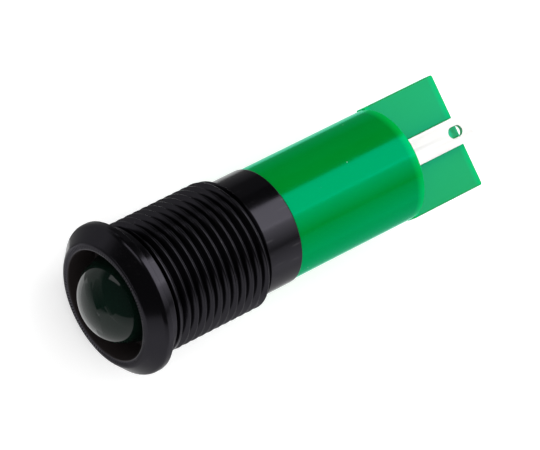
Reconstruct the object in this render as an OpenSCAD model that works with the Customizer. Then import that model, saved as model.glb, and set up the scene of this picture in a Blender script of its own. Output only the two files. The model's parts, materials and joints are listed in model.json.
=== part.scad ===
// Panel mount indicator light: a turned bezel with a prominent LED, a potted
// rear housing with a barrier plate, and two push-on tabs.
//
// Millimetres. The origin is the centre of the flange's back face, the face that
// lies against the panel. +Y runs back along the lamp's axis, -Y is the front
// with the LED, and +Z is square to the barrier plate.

/* [Bezel] */
// Outside diameter of the panel thread, crest to crest
thread_d = 14; // [13:0.1:18]
// Length from the panel face to the end of the thread
thread_len = 13.75; // [8:0.25:20]
// Chamfer at the end of the thread
thread_chamfer = 0.6; // [0.2:0.1:0.8]
// How far the flange stands out past the thread, all round
flange_overhang = 1.05; // [0.6:0.05:3]
// Thickness of the flange, from the panel face to the lip's front edge
flange_t = 2.25; // [1.8:0.05:4]
// Slope on the flange's front, measured along the radius and along the axis
flange_slope = 1.45; // [0.8:0.05:1.6]
// Wall of the lip round the recess, measured on its front edge
lip_wall = 0.75; // [0.4:0.05:0.9]
// Depth of the recess round the LED, from the lip's front edge
recess_depth = 3.4; // [2:0.1:6]
// Radius on the lip's front edges
lip_round = 0.2; // [0.05:0.05:0.3]
// How much the smooth sleeve is smaller than the thread, in radius
sleeve_step = 0.85; // [0.7:0.05:1.2]
// Length from the panel face to the rear end of the smooth sleeve
sleeve_len = 17.9; // [14:0.1:30]
// Chamfer on the turned edges
edge_chamfer = 0.15; // [0.05:0.05:0.25]
// Chamfer on the flange's rear edge, which meets the panel
seat_chamfer = 0.05; // [0.05:0.05:0.25]

/* [LED] */
// Diameter of the LED's dome
led_d = 8.4; // [7.4:0.1:10.1]
// Length of the dome, which is a little flatter than a half ball
led_dome_len = 3.5; // [2.5:0.05:4.2]
// How far the dome stands out in front of the lip
led_protrusion = 2.05; // [1:0.05:3]
// How far the collar that rests on the recess floor stands out past the dome, all round
led_collar_overhang = 0.5; // [0.3:0.05:0.6]
// How much the shank behind the collar is smaller than the dome, in radius
led_shank_step = 0.2; // [0.1:0.05:0.4]
// Length of the shank, from the recess floor to the LED's rear end
led_shank_len = 5.4; // [5:0.05:7]
// Side of the square leads
lead_w = 0.5; // [0.4:0.05:0.6]
// Distance between the leads' centres
lead_pitch = 2.54; // [2:0.01:3.2]
// Length of the leads behind the LED
lead_len = 6.65; // [5.5:0.05:8]
// Thickness of the web that the LED's collar rests on
web_t = 3.2; // [1.5:0.1:3.6]
// Thickness of the seal ring's squeezed section, along the axis
seal_t = 0.8; // [0.5:0.1:1]
// Length of the ring that holds the LED in the bezel
ring_len = 2.5; // [1:0.1:3]
// Wall of the ring that holds the LED in the bezel, behind the LED's shank
ring_wall = 1.6; // [0.8:0.1:2]
// Length of the insulating sleeves on the leads
lead_sleeve_len = 4.4; // [2:0.1:4.6]
// Wall of the insulating sleeves on the leads
lead_sleeve_wall = 0.2; // [0.1:0.05:0.3]

/* [Circuit board] */
// Thickness of the board
board_t = 1; // [0.8:0.1:1.6]
// How far the LED's leads lie on the board
lead_overlap = 2; // [1.5:0.1:2.4]
// Gap between the board's rear edge and the resin
board_gap = 0.85; // [0.4:0.05:2]
// Gap between each side of the board and the spigot's bore
board_side_gap = 0.25; // [0.1:0.05:0.3]
// Distance from the board's front edge to the resistor's front hole
first_hole = 3.4; // [3:0.1:3.6]
// Distance of the resistor and the diode from the board's middle
part_offset = 2.1; // [1.9:0.1:2.3]
// Diameter of the resistor's body at its ends
resistor_d = 2.4; // [1.8:0.1:2.6]
// Length of the resistor's body
resistor_len = 6.4; // [5:0.1:7]
// Length of the resistor's thick ends
resistor_cap_len = 1.1; // [0.8:0.1:1.6]
// How much the resistor is thinner between its ends, in radius
resistor_waist = 0.18; // [0.05:0.01:0.25]
// Distance between the resistor's holes
resistor_pitch = 10.16; // [9.6:0.01:10.2]
// Diameter of the diode's body
diode_d = 1.9; // [1.6:0.1:2.6]
// Length of the diode's body
diode_len = 3.9; // [3:0.1:4.6]
// Distance between the diode's holes
diode_pitch = 7.62; // [7:0.01:8]
// Diameter of the wires of the resistor and the diode
wire_d = 0.6; // [0.4:0.05:0.7]
// How far the wires stand out under the board
wire_tail = 0.6; // [0.4:0.05:0.7]

/* [Solder] */
// How far the solder covers past a lead or a hole
solder_rim = 0.25; // [0.15:0.05:0.3]
// Side of the solder fillet in front of each tab's foot
fillet_h = 0.4; // [0.2:0.05:0.45]

/* [Rear housing] */
// How much the housing is smaller than the bezel's sleeve, in radius
housing_step = 0.075; // [0.05:0.025:0.3]
// Length of the housing's tube, from the bezel's sleeve to its rim
housing_len = 16.3; // [15:0.05:26]
// Wall of the housing's tube
housing_wall = 1; // [0.6:0.05:1.2]
// Length of the spigot that enters the bezel's sleeve
spigot_len = 5; // [3:0.1:6]
// Wall of the spigot
spigot_wall = 0.75; // [0.5:0.05:0.8]
// Thickness of the shoulder between the spigot and the tube
shoulder_t = 1.2; // [0.8:0.1:2]
// Thickness of the barrier plate between the tabs
barrier_t = 1.5; // [1:0.1:2.4]
// Length of the barrier plate behind the housing's rim
barrier_len = 9.35; // [7:0.05:12]
// How far the barrier plate's root reaches into the housing
barrier_root = 3.5; // [2:0.1:4]
// Radius on the barrier plate's rear corners
barrier_corner = 0.25; // [0.1:0.05:0.6]
// Depth of the resin's surface below the housing's rim
potting_recess = 0.6; // [0.2:0.1:2]
// Depth of the resin
potting_depth = 4.4; // [3:0.1:4.6]

/* [Tabs] */
// Width of the tabs
tab_w = 2.8; // [2.2:0.1:4.8]
// Thickness of the tabs
tab_t = 0.5; // [0.4:0.05:0.8]
// Gap between each tab and the barrier plate
tab_gap = 0.5; // [0.3:0.05:0.8]
// Length of the tabs behind the housing's rim
tab_len = 10.35; // [8:0.05:14]
// Chamfer on the tabs' tips
tab_chamfer = 0.45; // [0.2:0.05:0.6]
// Width of the slot in each tab
slot_w = 1.2; // [0.8:0.1:1.4]
// Length of the slot in each tab
slot_len = 1.7; // [1.5:0.1:2.4]
// Distance from the slot's centre to the tab's tip
slot_from_tip = 1.95; // [1.6:0.05:3]
// How far the tabs lie on the board
tab_overlap = 2.3; // [1.6:0.1:2.4]
// Distance from a tab's crank to the board's rear edge
crank_before_edge = 0.6; // [0.4:0.1:1]
// Distance that a tab's crank reaches into the resin
crank_in_resin = 2.2; // [1:0.1:2.6]

/* [Clearances] */
// Gap round the LED in the bezel's web
led_gap = 0.05; // [0.02:0.01:0.2]
// Gap round the LED's flange, the ring and the spigot in the bezel's bore
bore_gap = 0.05; // [0.02:0.01:0.2]
// Gap round each lead in its sleeve, and round each wire in the board
wire_gap = 0.1; // [0.02:0.01:0.2]

/* [Hidden] */
$fn = 96;
eps = 0.01;

// Bezel
thread_r = thread_d / 2;
flange_r = thread_r + flange_overhang;
lip_r = flange_r - flange_slope;
recess_r = lip_r - lip_wall;
sleeve_r = thread_r - sleeve_step;
lip_y = -flange_t;
recess_y = lip_y + recess_depth;

// LED and what holds it
led_r = led_d / 2;
collar_r = led_r + led_collar_overhang;
shank_r = led_r - led_shank_step;
dome_y = lip_y - led_protrusion + led_dome_len;
led_back_y = recess_y + led_shank_len;
seal_y = recess_y + web_t;
seal_back_y = seal_y + seal_t;
bore_r = shank_r + seal_t + bore_gap;
ring_back_y = seal_back_y + ring_len;
lead_sleeve_r = lead_w / sqrt(2) + wire_gap;

// Housing
housing_r = sleeve_r - housing_step;
housing_bore_r = housing_r - housing_wall;
spigot_r = bore_r - bore_gap;
spigot_bore_r = spigot_r - spigot_wall;
rim_y = sleeve_len + housing_len;
barrier_end_y = rim_y + barrier_len;
barrier_root_y = rim_y - barrier_root;
potting_back_y = rim_y - potting_recess;
potting_front_y = potting_back_y - potting_depth;

// Board: it lies under the LED's leads
board_y = led_back_y + lead_len - lead_overlap;
board_end_y = potting_front_y - board_gap;
board_top = -lead_w / 2;
board_bottom = board_top - board_t;
board_w = 2 * (sqrt(pow(spigot_bore_r, 2) - pow(board_bottom, 2)) - board_side_gap);
hole_r = wire_d / 2 + wire_gap;
bend_r = wire_d;
parts_y = board_y + first_hole + resistor_pitch / 2;

// Tabs: blades beside the barrier plate, feet on the board's faces
tab_tip_y = rim_y + tab_len;
blade_z = barrier_t / 2 + tab_gap + tab_t / 2;
foot_y = board_end_y - tab_overlap;
crank_y = board_end_y - crank_before_edge;
crank_end_y = potting_front_y + crank_in_resin;

// Points of an arc round [cx, cy], from angle a0 to a1
function arc(cx, cy, r, a0, a1, steps = 8) =
    [for (i = [0:steps]) let (a = a0 + (a1 - a0) * i / steps) [cx + r * cos(a), cy + r * sin(a)]];

// Turns what stands along Z so that it lies along Y and starts at y
module along_y(y) translate([0, y, 0]) rotate([-90, 0, 0]) children();

// A shape of revolution about the lamp's axis; its points are [radius, y]
module turned(points) along_y(0) rotate_extrude() polygon(points);

// A plain round bar along Y
module bar(r, y0, y1) along_y(y0) cylinder(h = y1 - y0, r = r);

// A block given by its lowest and highest corners
module block(low, high) translate(low) cube(high - low);

module bezel_body() {
    lip_in = arc(recess_r + lip_round, lip_y + lip_round, lip_round, 180, 270);
    lip_out = arc(lip_r - lip_round, lip_y + lip_round, lip_round, 270, 315);
    color([0.06, 0.06, 0.065]) turned(concat(
        lip_in,
        lip_out,
        [[flange_r, lip_y + flange_slope],
        [flange_r, -seat_chamfer],
        [flange_r - seat_chamfer, 0],
        [thread_r, 0],
        [thread_r, thread_len - thread_chamfer],
        [thread_r - thread_chamfer, thread_len],
        [sleeve_r, thread_len],
        [sleeve_r, sleeve_len - edge_chamfer],
        [sleeve_r - edge_chamfer, sleeve_len],
        [bore_r, sleeve_len],
        [bore_r, seal_y],
        [shank_r + led_gap, seal_y],
        [shank_r + led_gap, recess_y],
        [recess_r, recess_y]]));
}

// Dome, the collar that rests on the recess floor, and the shank through the web
module led_lens() {
    color([0.03, 0.12, 0.08]) union() {
        translate([0, dome_y, 0]) scale([1, led_dome_len / led_r, 1]) sphere(r = led_r);
        bar(collar_r, dome_y, recess_y);
        bar(shank_r, dome_y, led_back_y);
    }
}

// A square lead, one side of the axis
module led_lead(side) {
    block([side * lead_pitch / 2 - lead_w / 2, led_back_y, -lead_w / 2],
        [side * lead_pitch / 2 + lead_w / 2, led_back_y + lead_len, lead_w / 2]);
}

module led_anode_lead() color([0.8, 0.8, 0.78]) led_lead(1);

module led_cathode_lead() color([0.8, 0.8, 0.78]) led_lead(-1);

// The rubber cord is squeezed to a barrel between the web and the retaining ring
module led_seal_ring() {
    cord_r = seal_t / 2;
    color([0.1, 0.1, 0.1]) along_y(seal_y) rotate_extrude() translate([shank_r + cord_r, 0])
        intersection() {
            translate([0, cord_r]) circle(r = cord_r * 1.15);
            translate([-cord_r, 0]) square([2 * cord_r, seal_t]);
        }
}

// It grips the shank and reaches in behind it
module led_retaining_ring() {
    color([0.15, 0.15, 0.16]) turned([
        [shank_r, seal_back_y],
        [spigot_r, seal_back_y],
        [spigot_r, ring_back_y - edge_chamfer],
        [spigot_r - edge_chamfer, ring_back_y],
        [spigot_r - ring_wall, ring_back_y],
        [spigot_r - ring_wall, led_back_y],
        [shank_r, led_back_y]]);
}

module lead_sleeves() {
    color([0.75, 0.1, 0.08]) for (side = [-1, 1]) translate([side * lead_pitch / 2, 0, 0])
        difference() {
            bar(lead_sleeve_r + lead_sleeve_wall, led_back_y, led_back_y + lead_sleeve_len);
            bar(lead_sleeve_r, led_back_y - eps, led_back_y + lead_sleeve_len + eps);
        }
}

// Places a child at each of the four holes for the wires
module at_wire_holes() {
    for (end = [-1, 1]) {
        translate([-part_offset, parts_y + end * resistor_pitch / 2, 0]) children();
        translate([part_offset, parts_y + end * diode_pitch / 2, 0]) children();
    }
}

module circuit_board() {
    color([0.1, 0.35, 0.2]) difference() {
        block([-board_w / 2, board_y, board_bottom], [board_w / 2, board_end_y, board_top]);
        at_wire_holes() translate([0, 0, board_bottom - eps])
            cylinder(h = board_t + 2 * eps, r = hole_r, $fn = 32);
    }
}

module dropping_resistor() {
    r = resistor_d / 2;
    half = resistor_len / 2;
    waist_r = r - resistor_waist;
    waist_half = half - resistor_cap_len - resistor_waist;
    color([0.72, 0.6, 0.42]) translate([-part_offset, parts_y, board_top + r]) turned([
        [0, -half],
        [r - edge_chamfer, -half],
        [r, -half + edge_chamfer],
        [r, -half + resistor_cap_len],
        [waist_r, -waist_half],
        [waist_r, waist_half],
        [r, half - resistor_cap_len],
        [r, half - edge_chamfer],
        [r - edge_chamfer, half],
        [0, half]]);
}

module protection_diode() {
    r = diode_d / 2;
    half = diode_len / 2;
    color([0.12, 0.12, 0.12]) translate([part_offset, parts_y, board_top + r]) turned([
        [0, -half],
        [r - edge_chamfer, -half],
        [r, -half + edge_chamfer],
        [r, half - edge_chamfer],
        [r - edge_chamfer, half],
        [0, half]]);
}

// A wire from the end of a part, bent down through its hole in the board.
// It lies at x, leaves the body at y0, goes down at y1, and its axis is at z.
module bent_wire(x, y0, y1, z) {
    side = sign(y1 - y0);
    low = board_bottom - wire_tail;
    translate([x, 0, 0]) {
        translate([0, y0, z]) rotate([-90 * side, 0, 0])
            cylinder(h = abs(y1 - y0) - bend_r, d = wire_d, $fn = 32);
        translate([0, y1 - side * bend_r, z - bend_r]) rotate([90, 0, 90])
            rotate_extrude(angle = 90, start = side > 0 ? 0 : 90, $fn = 32)
                translate([bend_r, 0]) circle(d = wire_d, $fn = 32);
        translate([0, y1, low]) cylinder(h = z - bend_r - low, d = wire_d, $fn = 32);
    }
}

module resistor_lead(side) {
    color([0.78, 0.77, 0.74]) bent_wire(-part_offset, parts_y + side * resistor_len / 2,
        parts_y + side * resistor_pitch / 2, board_top + resistor_d / 2);
}

module diode_lead(side) {
    color([0.78, 0.77, 0.74]) bent_wire(part_offset, parts_y + side * diode_len / 2,
        parts_y + side * diode_pitch / 2, board_top + diode_d / 2);
}

module resistor_front_lead() resistor_lead(-1);

module resistor_rear_lead() resistor_lead(1);

module diode_front_lead() diode_lead(-1);

module diode_rear_lead() diode_lead(1);

// A cap of solder over each LED lead, where it lies on the board
module led_solder_joints() {
    cap_h = lead_w + solder_rim;
    joint_y = board_y + lead_overlap / 2;
    color([0.72, 0.73, 0.74]) for (side = [-1, 1]) difference() {
        intersection() {
            translate([side * lead_pitch / 2, joint_y, board_top])
                sphere(r = cap_h, $fn = 48);
            block([-board_w / 2, board_y, board_top],
                [board_w / 2, board_end_y, board_top + 2 * cap_h]);
        }
        led_lead(side);
    }
}

// A cone of solder under the board round each wire
module part_solder_joints() {
    cone_h = wire_tail - solder_rim / 2;
    color([0.72, 0.73, 0.74]) at_wire_holes() difference() {
        translate([0, 0, board_bottom - cone_h])
            cylinder(h = cone_h, r1 = wire_d / 2 + wire_gap / 2, r2 = hole_r + solder_rim, $fn = 32);
        translate([0, 0, board_bottom - 2 * cone_h])
            cylinder(h = 3 * cone_h, d = wire_d, $fn = 32);
    }
}

// A fillet of solder in front of each tab's foot
module tab_solder_joints() {
    color([0.72, 0.73, 0.74]) for (face = [[board_top, 1], [board_bottom, -1]])
        translate([-tab_w / 2, foot_y, face[0]]) rotate([90, 0, 90]) linear_extrude(tab_w)
            polygon([[0, 0], [-fillet_h, 0], [0, face[1] * fillet_h]]);
}

module rear_housing() {
    color([0.02, 0.6, 0.3]) {
        difference() {
            union() {
                bar(housing_r, sleeve_len, rim_y);
                bar(spigot_r, sleeve_len - spigot_len, sleeve_len + eps);
            }
            bar(spigot_bore_r, sleeve_len - spigot_len - eps, sleeve_len + shoulder_t + eps);
            bar(housing_bore_r, sleeve_len + shoulder_t, rim_y + eps);
        }
        intersection() {
            bar(housing_r - housing_wall / 2, barrier_root_y, rim_y);
            block([-housing_r, barrier_root_y, -barrier_t / 2], [housing_r, rim_y, barrier_t / 2]);
        }
        barrier_blade();
    }
}

// The part of the barrier plate behind the rim, with rounded rear corners
module barrier_blade() {
    corner_x = housing_r - barrier_corner;
    corner_y = barrier_end_y - barrier_corner;
    difference() {
        block([-housing_r, rim_y, -barrier_t / 2], [housing_r, barrier_end_y, barrier_t / 2]);
        for (side = [-1, 1]) translate([side * corner_x, corner_y, -barrier_t]) difference() {
            translate([side > 0 ? 0 : -2 * barrier_corner, 0, 0])
                cube([2 * barrier_corner, 2 * barrier_corner, 2 * barrier_t]);
            translate([0, 0, -eps]) cylinder(h = 2 * barrier_t + 2 * eps, r = barrier_corner, $fn = 32);
        }
    }
}

module end_potting() {
    color([0.1, 0.14, 0.12]) difference() {
        bar(housing_bore_r, potting_front_y, potting_back_y);
        block([-housing_r, barrier_root_y, -barrier_t / 2],
            [housing_r, rim_y, barrier_t / 2]);
        for (side = [-1, 1]) tab_strip(side);
    }
}

// Side view of a tab as [y, z]: a foot at foot_z, a crank, and a blade at blade_z.
// The corners are mitred so that the strip keeps its thickness through the crank.
function tab_side_view(foot_z, blade_z) =
    let (slope = atan2(blade_z - foot_z, crank_end_y - crank_y))
    let (mitre = tab_t / 2 * tan(slope / 2))
    [[foot_y, foot_z + tab_t / 2],
    [crank_y - mitre, foot_z + tab_t / 2],
    [crank_end_y - mitre, blade_z + tab_t / 2],
    [tab_tip_y, blade_z + tab_t / 2],
    [tab_tip_y, blade_z - tab_t / 2],
    [crank_end_y + mitre, blade_z - tab_t / 2],
    [crank_y + mitre, foot_z - tab_t / 2],
    [foot_y, foot_z - tab_t / 2]];

// The uncut strip of a tab: side is 1 for the upper tab and -1 for the lower
module tab_strip(side) {
    face_z = side > 0 ? board_top : board_bottom;
    translate([-tab_w / 2, 0, 0]) rotate([90, 0, 90]) linear_extrude(tab_w)
        polygon(tab_side_view(face_z + side * tab_t / 2, side * blade_z));
}

module tab(side) {
    slot_y = tab_tip_y - slot_from_tip;
    slot_half = (slot_len - slot_w) / 2;
    cut_h = 4 * tab_t;
    color([0.86, 0.86, 0.84]) difference() {
        tab_strip(side);
        translate([0, slot_y, side * blade_z - cut_h / 2]) {
            for (end = [-1, 1]) translate([0, end * slot_half, 0])
                cylinder(h = cut_h, d = slot_w, $fn = 48);
            translate([-slot_w / 2, -slot_half, 0]) cube([slot_w, 2 * slot_half, cut_h]);
        }
        for (edge = [-1, 1]) translate([edge * tab_w / 2, tab_tip_y, side * blade_z - cut_h / 2])
            linear_extrude(cut_h) polygon([
                [-edge * tab_chamfer, 0],
                [-edge * tab_chamfer, eps],
                [edge * eps, eps],
                [edge * eps, -tab_chamfer],
                [0, -tab_chamfer]]);
    }
}

module tab_upper() tab(1);

module tab_lower() tab(-1);

bezel_body();
led_lens();
led_anode_lead();
led_cathode_lead();
led_seal_ring();
led_retaining_ring();
lead_sleeves();
circuit_board();
dropping_resistor();
resistor_front_lead();
resistor_rear_lead();
protection_diode();
diode_front_lead();
diode_rear_lead();
led_solder_joints();
part_solder_joints();
tab_solder_joints();
rear_housing();
end_potting();
tab_upper();
tab_lower();
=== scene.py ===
# %% [markdown]
# # A panel mount indicator light
#
# A small lamp for a control panel: a black turned bezel with a screw thread, a dark
# green LED that looks out of its front, and a green moulded housing behind, which
# ends in a barrier plate between two solder tabs. A CAD model of the lamp exists
# already and is loaded first. It says where everything is, so each new piece takes
# its place and its main sizes from it, and only the looks are made here.

import json
import math

import bpy
from mathutils import Matrix, Quaternion, Vector


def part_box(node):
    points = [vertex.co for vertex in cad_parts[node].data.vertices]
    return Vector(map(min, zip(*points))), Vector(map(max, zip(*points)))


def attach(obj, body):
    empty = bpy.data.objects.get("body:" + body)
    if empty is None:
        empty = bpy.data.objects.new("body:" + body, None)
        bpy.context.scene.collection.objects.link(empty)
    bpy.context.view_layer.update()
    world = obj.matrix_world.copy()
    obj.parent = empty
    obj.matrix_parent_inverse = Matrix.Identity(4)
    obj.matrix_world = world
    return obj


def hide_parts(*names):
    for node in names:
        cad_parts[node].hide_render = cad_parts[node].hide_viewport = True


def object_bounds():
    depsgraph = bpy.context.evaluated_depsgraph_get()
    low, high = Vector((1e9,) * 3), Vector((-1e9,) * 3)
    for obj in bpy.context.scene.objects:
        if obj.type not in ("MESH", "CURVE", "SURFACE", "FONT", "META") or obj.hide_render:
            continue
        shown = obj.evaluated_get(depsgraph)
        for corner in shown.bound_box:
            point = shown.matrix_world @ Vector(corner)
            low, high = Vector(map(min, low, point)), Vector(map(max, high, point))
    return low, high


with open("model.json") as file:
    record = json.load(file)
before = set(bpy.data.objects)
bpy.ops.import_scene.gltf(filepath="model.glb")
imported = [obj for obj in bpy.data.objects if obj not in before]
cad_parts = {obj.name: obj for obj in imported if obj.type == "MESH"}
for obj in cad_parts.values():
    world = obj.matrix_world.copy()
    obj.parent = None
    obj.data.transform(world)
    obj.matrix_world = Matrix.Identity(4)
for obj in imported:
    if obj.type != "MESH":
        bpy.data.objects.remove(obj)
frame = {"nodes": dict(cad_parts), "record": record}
cad_low, cad_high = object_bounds()
print("nodes:", len(frame["nodes"]), "box:", cad_low, cad_high)

# %% [markdown]
# ## Sizes
#
# The lamp is drawn in millimetres, and Blender works in metres. Y runs along the
# lamp from the panel's face at 0: the LED is on the minus side and the tabs are on
# the plus side. Sizes that the CAD model knows are read from it, so that they can't
# drift apart. Those inside a piece, such as the depth of a recess, are written here
# under their own names.

# %% Read the sizes
MM = 0.001


def corners(node):
    """Lowest and highest corner of a CAD node, in millimetres."""
    low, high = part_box(node)
    return low / MM, high / MM


bezel_low, bezel_high = corners("bezel_body")
led_low, led_high = corners("led_lens")
housing_low, housing_high = corners("rear_housing")
potting_low, potting_high = corners("end_potting")
tab_low, tab_high = corners("tab_upper")
thread_mount = next(m for m in frame["record"]["mounts"] if m["name"] == "panel_thread")
thread_r = thread_mount["dims"]["r_mm"]
thread_length = thread_mount["dims"]["length_mm"]
print("thread radius", thread_r, "flange radius", round(bezel_high.x, 2))

# %% [markdown]
# ## Camera
#
# A small thing is best seen from far away through a long lens, which keeps its
# sides nearly parallel. The camera is set by what it looks at, its distance and
# three angles. A look-at turn could also come from a Track To constraint, but a
# quaternion made from the viewing direction keeps everything in plain numbers, and
# the roll is one more turn about that direction.

# %% Place the camera
AIM = Vector((0.23, 19.08, -0.54)) * MM
DISTANCE = 458.7 * MM
AZIMUTH, ELEVATION, ROLL = (math.radians(angle) for angle in (-5.11, 58.81, -69.29))
LENS = 305.5

back = Vector((
    math.sin(AZIMUTH) * math.cos(ELEVATION),
    -math.cos(AZIMUTH) * math.cos(ELEVATION),
    math.sin(ELEVATION),
))
camera_data = bpy.data.cameras.new("studio_camera")
camera_data.lens = LENS
camera_data.clip_start = 0.01
camera_data.clip_end = 10
camera = bpy.data.objects.new("studio_camera", camera_data)
bpy.context.scene.collection.objects.link(camera)
camera.location = AIM + back * DISTANCE
camera.rotation_mode = "QUATERNION"
look = (-back).to_track_quat("-Z", "Y")
camera.rotation_quaternion = look @ Quaternion((0, 0, 1), -ROLL)
bpy.context.scene.camera = camera
print("camera at", camera.location, "right", camera.rotation_quaternion @ Vector((1, 0, 0)))

# %% [markdown]
# ## Helpers for modelling
#
# An operator acts on all that is selected, so every helper lets go of everything
# first and then picks its own piece. Edges and faces are picked by a test on where
# their corners are, in millimetres, which is what a hand with the mouse does by eye.


# %% Select pieces, edges and faces
def let_go():
    """Leave edit mode and deselect everything."""
    if bpy.context.mode != "OBJECT":
        bpy.ops.object.mode_set(mode="OBJECT")
    bpy.ops.object.select_all(action="DESELECT")


def pick(piece):
    """Make one piece the only selected one, and the active one."""
    let_go()
    piece.select_set(True)
    bpy.context.view_layer.objects.active = piece
    return piece


def select_where(piece, kind, test):
    """In edit mode, select the edges or faces (kind) whose corners all pass a test."""
    pick(piece)
    bpy.ops.object.mode_set(mode="EDIT")
    bpy.ops.mesh.select_mode(type=kind)
    bpy.ops.mesh.select_all(action="DESELECT")
    bpy.ops.object.mode_set(mode="OBJECT")
    mesh = piece.data
    parts = mesh.edges if kind == "EDGE" else mesh.polygons
    for part in parts:
        part.select = all(test(mesh.vertices[v].co / MM) for v in part.vertices)
    bpy.ops.object.mode_set(mode="EDIT")


# %% [markdown]
# Most of the lamp was turned on a lathe or moulded in a round mould. An outline of
# half the section is spun round the lamp's axis, as a lathe would leave it. The
# outline starts as a small plane that is merged to one vertex, and is then extruded
# from corner to corner. After the spin the seam is closed by merging doubles, and
# the normals are made to face outwards.


# %% Trace an outline and spin it
TURN_STEPS = 128
CLOSE = 0.002 * MM


def trace(name, points):
    """A line through (x, y, z) points in millimetres, left in edit mode."""
    let_go()
    bpy.ops.mesh.primitive_plane_add(size=MM, location=Vector(points[0]) * MM)
    piece = bpy.context.object
    piece.name = piece.data.name = name
    bpy.ops.object.transform_apply(location=True)
    bpy.ops.object.mode_set(mode="EDIT")
    bpy.ops.mesh.select_mode(type="VERT")
    bpy.ops.mesh.merge(type="CENTER")
    for start, end in zip(points, points[1:]):
        step = (Vector(end) - Vector(start)) * MM
        bpy.ops.mesh.extrude_region_move(TRANSFORM_OT_translate={"value": step})
    return piece


def close_up():
    """Merge doubles and turn the normals outwards, in edit mode."""
    bpy.ops.mesh.select_all(action="SELECT")
    bpy.ops.mesh.remove_doubles(threshold=CLOSE)
    bpy.ops.mesh.normals_make_consistent(inside=False)


def turn(name, outline):
    """Spin an outline of (radius, y) points once round the lamp's axis."""
    piece = trace(name, [(radius, y, 0) for radius, y in outline])
    bpy.ops.mesh.select_all(action="SELECT")
    bpy.ops.mesh.spin(steps=TURN_STEPS, angle=2 * math.pi, center=(0, 0, 0), axis=(0, 1, 0))
    close_up()
    let_go()
    return piece


print("steps in a full turn:", TURN_STEPS, "doubles merged within", CLOSE)

# %% [markdown]
# A turned corner is never quite sharp: the tool leaves a small radius, and that
# radius catches the light as a thin line. Bevelling chosen rings in edit mode gives
# each corner its own width. The other pieces get a Bevel modifier that works on
# every edge over an angle. Smooth shading up to an angle keeps sharp edges sharp, and
# weighted normals keep the flats flat: a corner then follows the larger faces at it,
# so that a small bevel doesn't tip the shading of the broad face beside it.


# %% Round corners, apply modifiers, shade
NEAR = 0.01
ROUND_STEPS = 4
BREAK_ANGLE = 40
SMOOTH_ANGLE = 35


def round_rings(piece, rings, width):
    """Bevel rings of a turned piece, each given by its (radius, y)."""

    def on_a_ring(co):
        radius = math.hypot(co.x, co.z)
        return any(abs(radius - r) < NEAR and abs(co.y - y) < NEAR for r, y in rings)

    select_where(piece, "EDGE", on_a_ring)
    bpy.ops.mesh.bevel(offset=width * MM, segments=ROUND_STEPS, affect="EDGES")
    let_go()


def add_modifier(piece, kind, **settings):
    """Add a modifier, set it and apply it."""
    pick(piece)
    modifier = piece.modifiers.new(kind.lower(), kind)
    for name, value in settings.items():
        setattr(modifier, name, value)
    bpy.ops.object.modifier_apply(modifier=modifier.name)


def break_edges(piece, width, segments):
    """Round every edge that is sharper than the breaking angle."""
    add_modifier(
        piece, "BEVEL", width=width * MM, segments=segments, limit_method="ANGLE",
        angle_limit=math.radians(BREAK_ANGLE),
    )


def shade(piece):
    """Smooth shading, except across edges sharper than the smooth angle."""
    pick(piece)
    bpy.ops.object.shade_smooth_by_angle(angle=math.radians(SMOOTH_ANGLE))
    add_modifier(piece, "WEIGHTED_NORMAL", keep_sharp=True)
    let_go()
    print(piece.name, "faces:", len(piece.data.polygons))


def combine(piece, tool, operation):
    """Join a tool to a piece or cut it away, then throw the tool away."""
    add_modifier(piece, "BOOLEAN", object=tool, operation=operation, solver="EXACT")
    bpy.data.objects.remove(tool)


print("edges broken past", BREAK_ANGLE, "degrees, shaded smooth up to", SMOOTH_ANGLE)

# %% [markdown]
# ## The bezel
#
# The bezel is one bar of brass, turned and then plated black. From the front: a lip
# round a recess, a flange with a steep front, a short plain collar, a groove where
# the threading tool starts, the thread, and a smooth sleeve that takes the housing.
# Inside are the recess, a web with a hole for the LED, and a bore. All of that is
# one outline, spun once. The thread's crests are left as a plain cylinder here and
# get their groove in the next step.

# %% Turn the bezel
LIP_R = 6.6
FLANGE_SLOPE = 1.45
RECESS_R, RECESS_BACK = 5.85, 1.15
COLLAR_END, COLLAR_SLOPE = 1.27, 0.03
ROOT_R, CREST_R = 6.4, 6.95
THREAD_START, THREAD_SLOPE, THREAD_END = 1.68, 0.3, 13.75
SLEEVE_R = 6.22
WEB_HOLE_R, WEB_BACK = 4.05, 4.35
BORE_R = 4.85
LIP_ROUND, FLANGE_ROUND, SEAT_ROUND = 0.2, 0.3, 0.05
COLLAR_ROUND, SLEEVE_ROUND = 0.1, 0.15

lip_y = bezel_low.y
flange_r = bezel_high.x
sleeve_y = bezel_high.y
bezel = turn("bezel", [
    (RECESS_R, lip_y),
    (LIP_R, lip_y),
    (flange_r, lip_y + FLANGE_SLOPE),
    (flange_r, 0),
    (thread_r, 0),
    (thread_r, COLLAR_END),
    (ROOT_R, COLLAR_END + COLLAR_SLOPE),
    (ROOT_R, THREAD_START - THREAD_SLOPE),
    (CREST_R, THREAD_START),
    (CREST_R, thread_length),
    (ROOT_R, THREAD_END),
    (SLEEVE_R, THREAD_END),
    (SLEEVE_R, sleeve_y),
    (BORE_R, sleeve_y),
    (BORE_R, WEB_BACK),
    (WEB_HOLE_R, WEB_BACK),
    (WEB_HOLE_R, RECESS_BACK),
    (RECESS_R, RECESS_BACK),
    (RECESS_R, lip_y),
])
round_rings(bezel, [(RECESS_R, lip_y), (LIP_R, lip_y)], LIP_ROUND)
round_rings(bezel, [(flange_r, lip_y + FLANGE_SLOPE)], FLANGE_ROUND)
round_rings(bezel, [(flange_r, 0)], SEAT_ROUND)
round_rings(bezel, [(thread_r, COLLAR_END), (RECESS_R, RECESS_BACK)], COLLAR_ROUND)
round_rings(bezel, [(SLEEVE_R, sleeve_y)], SLEEVE_ROUND)
print("bezel turned:", len(bezel.data.polygons), "faces")

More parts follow.
